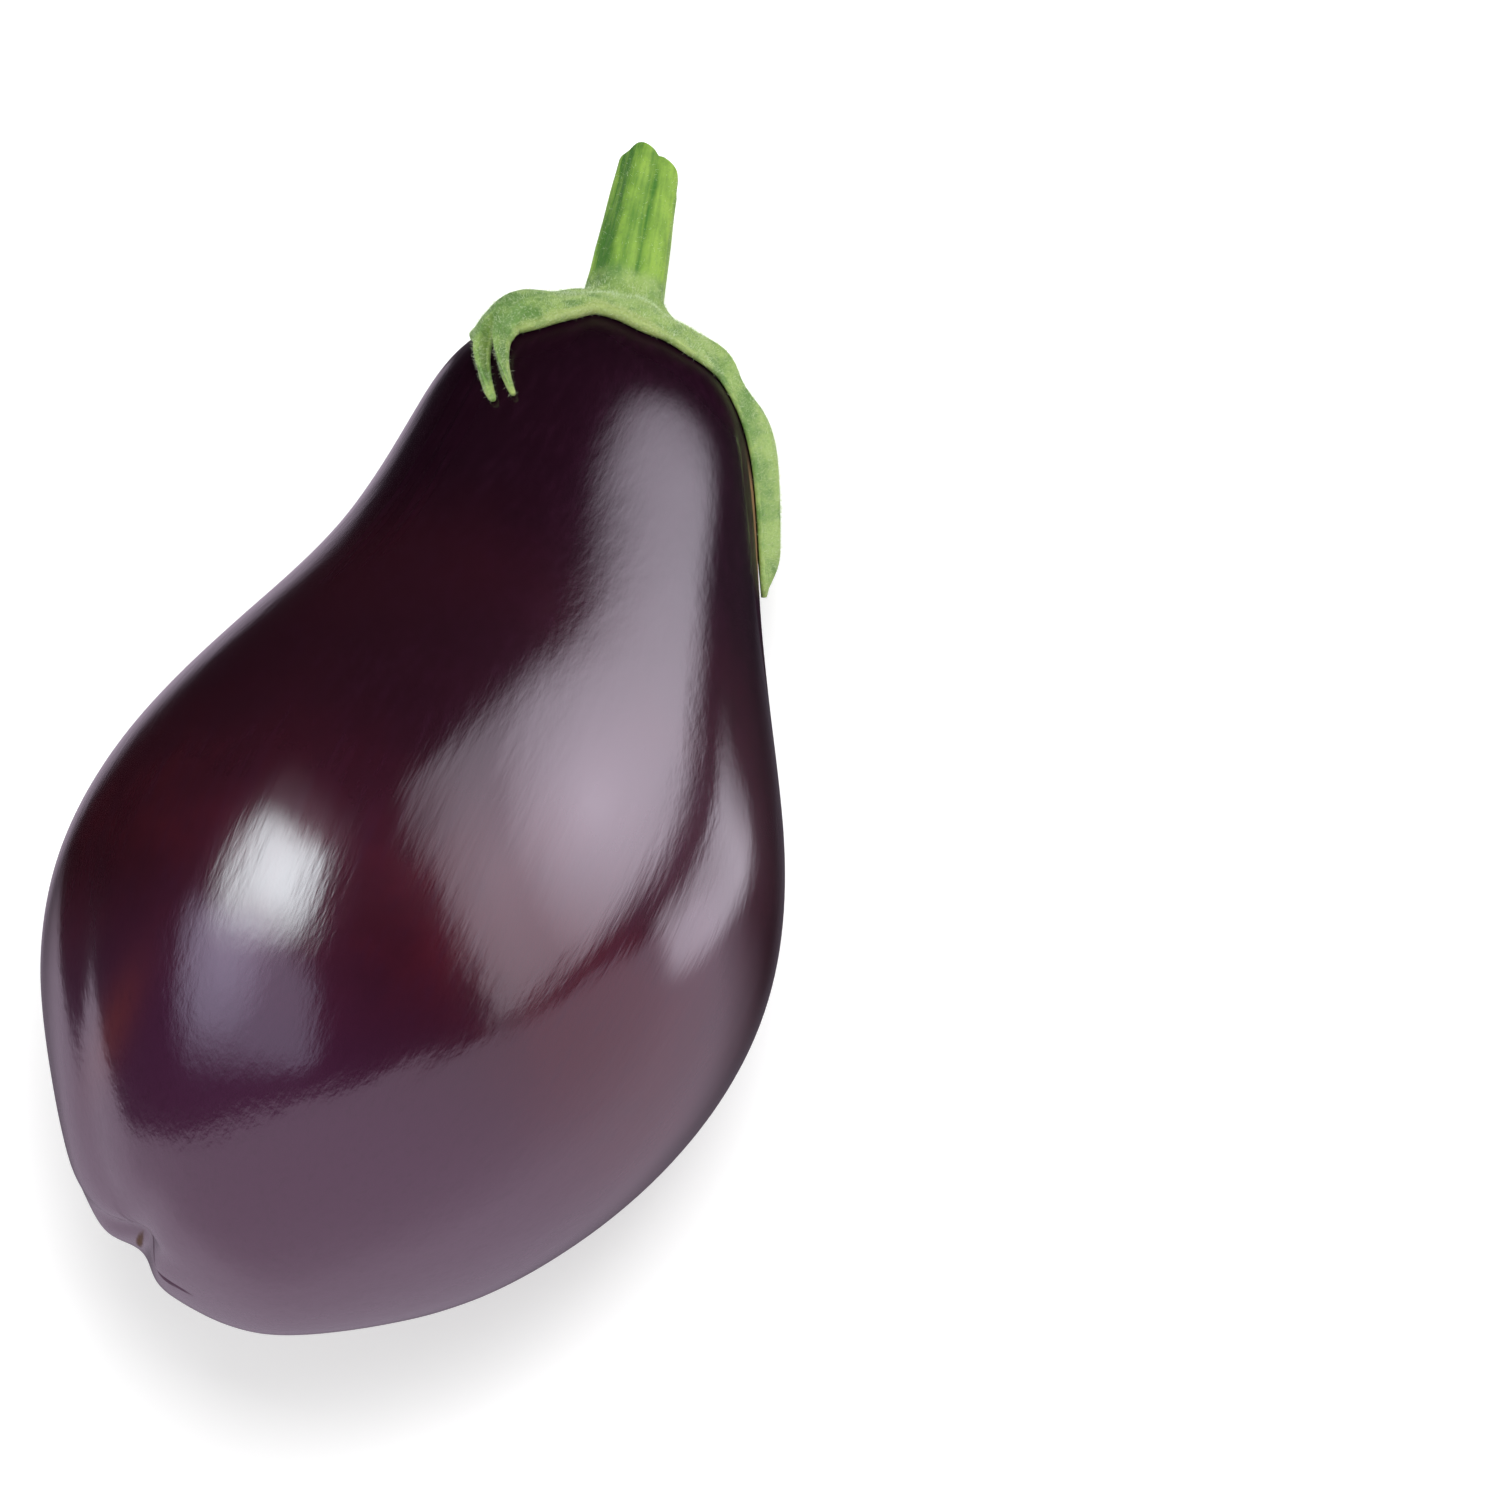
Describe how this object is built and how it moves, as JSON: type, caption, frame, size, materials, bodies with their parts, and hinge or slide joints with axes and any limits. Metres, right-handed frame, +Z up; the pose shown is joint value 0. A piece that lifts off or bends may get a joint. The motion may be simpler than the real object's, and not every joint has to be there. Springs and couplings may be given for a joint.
{
  "type": "eggplant",
  "caption": "Glossy dark purple eggplant lying on its side, with a green lobed cap and a ribbed stem cut off aslant.",
  "frame": {"origin": "centre of the box round the part, at the level of the surface it lies on", "axes": "+X along the length toward the stem, +Z up from the resting surface, +Y to the side where the fruit bows least"},
  "size_m": [0.1896, 0.1048, 0.1039],
  "materials": {
    "aubergine_skin": "smooth glossy skin, near-black purple",
    "green_cap": "dull green with fine grey felt, paler at the rim"
  },
  "bodies": {
    "root": {"fruit": "aubergine_skin", "cap_and_stem": "green_cap"}
  },
  "joints": []
}
